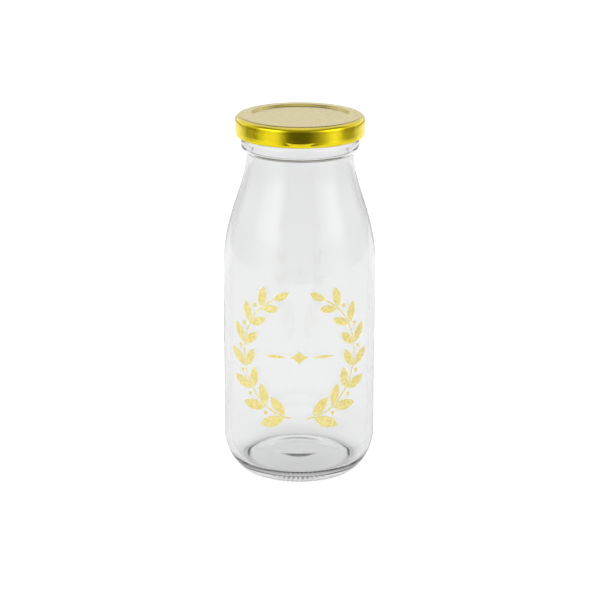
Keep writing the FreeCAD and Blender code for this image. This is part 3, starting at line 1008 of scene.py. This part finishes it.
def studio_air(scene):
    """The room: dark in front, a tall light at each side, a soft ceiling, white to the camera."""
    world = bpy.data.worlds.new("studio_air")
    scene.world = world
    world.use_nodes = True
    tree = world.node_tree
    tree.nodes.clear()
    way = axes(tree, coordinates(tree, "Generated"))
    x, y, z = (way[axis] for axis in "XYZ")
    turn = calculated(tree, "ARCTAN2", x, calculated(tree, "MULTIPLY", y, -1))
    round_room = calculated(tree, "ADD", calculated(tree, "DIVIDE", turn, 2 * math.pi), 0.5)
    stops = [(degrees / 360 + 0.5, level) for degrees, level in ROOM_WALLS]
    walls = mixed(tree, 1.0, ramp(tree, round_room, *stops), ramp(tree, z, *WALLS_UP), "MULTIPLY")
    front = mixed(tree, ramp(tree, z, *CEILING_STARTS), walls, ramp(tree, z, *CEILING_FRONT))
    aside = ramp(tree, calculated(tree, "ABSOLUTE", x), *CEILING_ASIDE)
    behind = mixed(tree, 1.0, ramp(tree, z, *CEILING_BEHIND), aside, "LIGHTEN")
    back = ramp(tree, y, *BACK_STARTS)
    over_paper = calculated(tree, "MULTIPLY", back, ramp(tree, z, *BACK_RISES))
    mirrored = mixed(tree, over_paper, front, behind)
    pale = mixed(tree, 1.0, ramp(tree, y, *GLASS_FRONT), ramp(tree, z, *GLASS_HIGH_UP), "MULTIPLY")
    path = add(tree, "ShaderNodeLightPath").outputs
    looks = {"Is Glossy Ray": mirrored, "Is Transmission Ray": pale, "Is Camera Ray": WHITE}
    last = add(tree, "ShaderNodeBackground", Color=WHITE, Strength=ROOM_LIGHT)
    for kind, look in looks.items():
        air = add(tree, "ShaderNodeBackground", Color=look, Strength=1.0)
        step = add(tree, "ShaderNodeMixShader", Fac=path[kind])
        tree.links.new(last.outputs[0], step.inputs[1])
        tree.links.new(air.outputs[0], step.inputs[2])
        last = step
    add(tree, "ShaderNodeOutputWorld", Surface=last.outputs[0])


def lay_sweep(finishes):
    """Paper that lies under the bottle and turns up behind it."""
    sweep = add_plane("paper_sweep", 1)
    bpy.ops.object.mode_set(mode="EDIT")
    bpy.ops.transform.resize(value=SWEEP_SIZE)
    bpy.ops.transform.translate(value=SWEEP_SHIFT)
    far = SWEEP_SIZE[1] / 2
    pick(sweep, "edges", lambda edge: all(corner.co.y > far for corner in edge.verts))
    bpy.ops.mesh.extrude_region_move(TRANSFORM_OT_translate={"value": SWEEP_RISE})
    leave()
    dress(sweep, white_paper(finishes))


def lay_floor(finishes):
    """The wide floor round the paper, which only the camera and the glass see."""
    floor = add_plane("wide_floor", FLOOR_SIZE, -FLOOR_DROP)
    dress(floor, white_paper(finishes))
    floor.visible_glossy = False
    floor.visible_diffuse = False
    floor.visible_shadow = False


def soft_box(name, place, aim, width, height, brightness):
    """A rectangular soft box with the given brightness of its face."""
    data = bpy.data.lights.new(name, "AREA")
    data.shape = "RECTANGLE"
    data.size, data.size_y = width, height
    data.energy = brightness * math.pi * width * height
    lamp = bpy.data.objects.new(name, data)
    bpy.context.scene.collection.objects.link(lamp)
    lamp.location = place
    lamp.visible_glossy = lamp.visible_transmission = False
    lamp.rotation_euler = (Vector(aim) - Vector(place)).to_track_quat("-Z", "Y").to_euler()


def set_camera(scene):
    data = bpy.data.cameras.new("camera")
    data.sensor_width = CAMERA_SENSOR
    data.lens = CAMERA_LENS
    data.clip_start, data.clip_end = CAMERA_CLIP
    camera = bpy.data.objects.new("camera", data)
    scene.collection.objects.link(camera)
    pitch = Matrix.Rotation(math.radians(90 - CAMERA_DOWN), 4, "X")
    roll = Matrix.Rotation(math.radians(CAMERA_ROLL), 4, "Z")
    camera.matrix_world = Matrix.Translation(CAMERA_PLACE) @ pitch @ roll
    scene.camera = camera


class BOTTLE_OT_set_table(bpy.types.Operator):
    """Lay the white paper and set the soft boxes, the room and the camera"""

    bl_idname = "bottle.set_table"
    bl_label = "Set the table"

    def execute(self, context):
        scene = context.scene
        scene.view_settings.view_transform = "Standard"
        lay_sweep(scene.finishes)
        lay_floor(scene.finishes)
        studio_air(scene)
        for name, box in SOFT_BOXES.items():
            soft_box(name, *box)
        set_camera(scene)
        return {"FINISHED"}


class BOTTLE_PT_panel(bpy.types.Panel):
    bl_label = "Milk bottle"
    bl_idname = "BOTTLE_PT_panel"
    bl_space_type = "VIEW_3D"
    bl_region_type = "UI"
    bl_category = "Bottle"

    def draw(self, context):
        for group in SIZE_GROUPS:
            box = self.layout.box()
            values = getattr(context.scene, group)
            for name in values.bl_rna.properties.keys():
                if name not in ("rna_type", "name"):
                    box.prop(values, name)
        for step in STEPS:
            self.layout.operator(step.bl_idname)


SIZE_GROUPS = {
    "glass_sizes": GlassSizes,
    "thread_sizes": ThreadSizes,
    "cap_sizes": CapSizes,
    "seal_sizes": SealSizes,
    "finishes": Finishes,
}
STEPS = (
    BOTTLE_OT_blow_glass,
    BOTTLE_OT_press_cap,
    BOTTLE_OT_pour_seal,
    BOTTLE_OT_lay_foil,
    BOTTLE_OT_set_table,
)


def register():
    for kind in (*SIZE_GROUPS.values(), *STEPS, BOTTLE_PT_panel):
        bpy.utils.register_class(kind)
    for name, group in SIZE_GROUPS.items():
        setattr(bpy.types.Scene, name, bpy.props.PointerProperty(type=group))


def unregister():
    for name in SIZE_GROUPS:
        delattr(bpy.types.Scene, name)
    for kind in reversed((*SIZE_GROUPS.values(), *STEPS, BOTTLE_PT_panel)):
        bpy.utils.unregister_class(kind)


def main():
    register()
    bpy.ops.bottle.blow_glass()
    bpy.ops.bottle.press_cap()
    bpy.ops.bottle.pour_seal()
    bpy.ops.bottle.lay_foil()
    bpy.ops.bottle.set_table()


if __name__ == "__main__":
    main()
